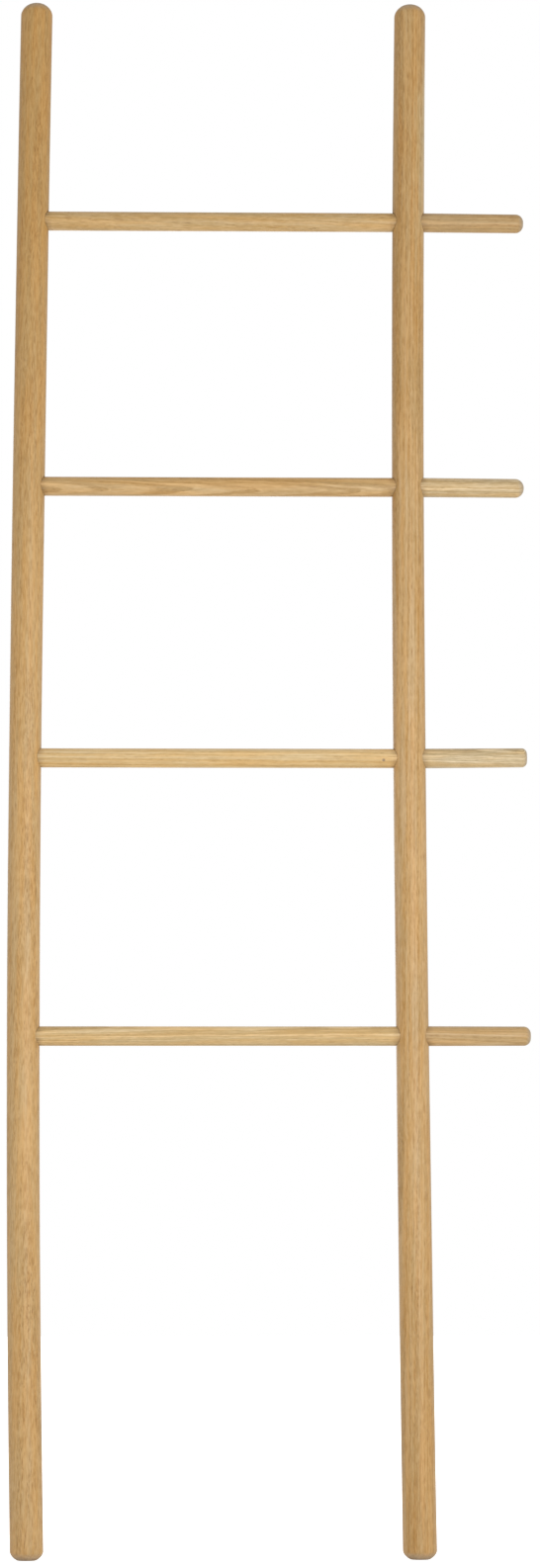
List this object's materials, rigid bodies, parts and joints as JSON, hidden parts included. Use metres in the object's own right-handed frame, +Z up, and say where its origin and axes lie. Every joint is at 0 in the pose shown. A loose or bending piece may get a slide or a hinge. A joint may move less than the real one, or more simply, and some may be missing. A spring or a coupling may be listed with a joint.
{
  "type": "ladder rack",
  "caption": "Leaning ladder rack of round oak poles, with rungs between two rails and pegs that carry on past the right rail.",
  "frame": {"origin": "on the floor, under the middle of the whole outline, with the rack standing upright on its feet", "axes": "+Z up along the rails, +X from the left rail to the pegs, -Y out of the front"},
  "size_m": [0.5946, 0.0364, 1.8],
  "materials": {
    "rail_oak": "oiled oak, satin",
    "rung_oak": "oiled oak, satin",
    "peg_oak": "oiled oak, satin",
    "steel": "zinc-plated screw steel"
  },
  "bodies": {
    "root": {"left_rail": "rail_oak", "right_rail": "rail_oak", "rung_1": "rung_oak", "rung_2": "rung_oak", "rung_3": "rung_oak", "rung_4": "rung_oak", "peg_1": "peg_oak", "peg_2": "peg_oak", "peg_3": "peg_oak", "peg_4": "peg_oak", "left_dowel_screw_1": "steel", "left_dowel_screw_2": "steel", "left_dowel_screw_3": "steel", "left_dowel_screw_4": "steel", "right_dowel_screw_1": "steel", "right_dowel_screw_2": "steel", "right_dowel_screw_3": "steel", "right_dowel_screw_4": "steel"}
  },
  "joints": []
}
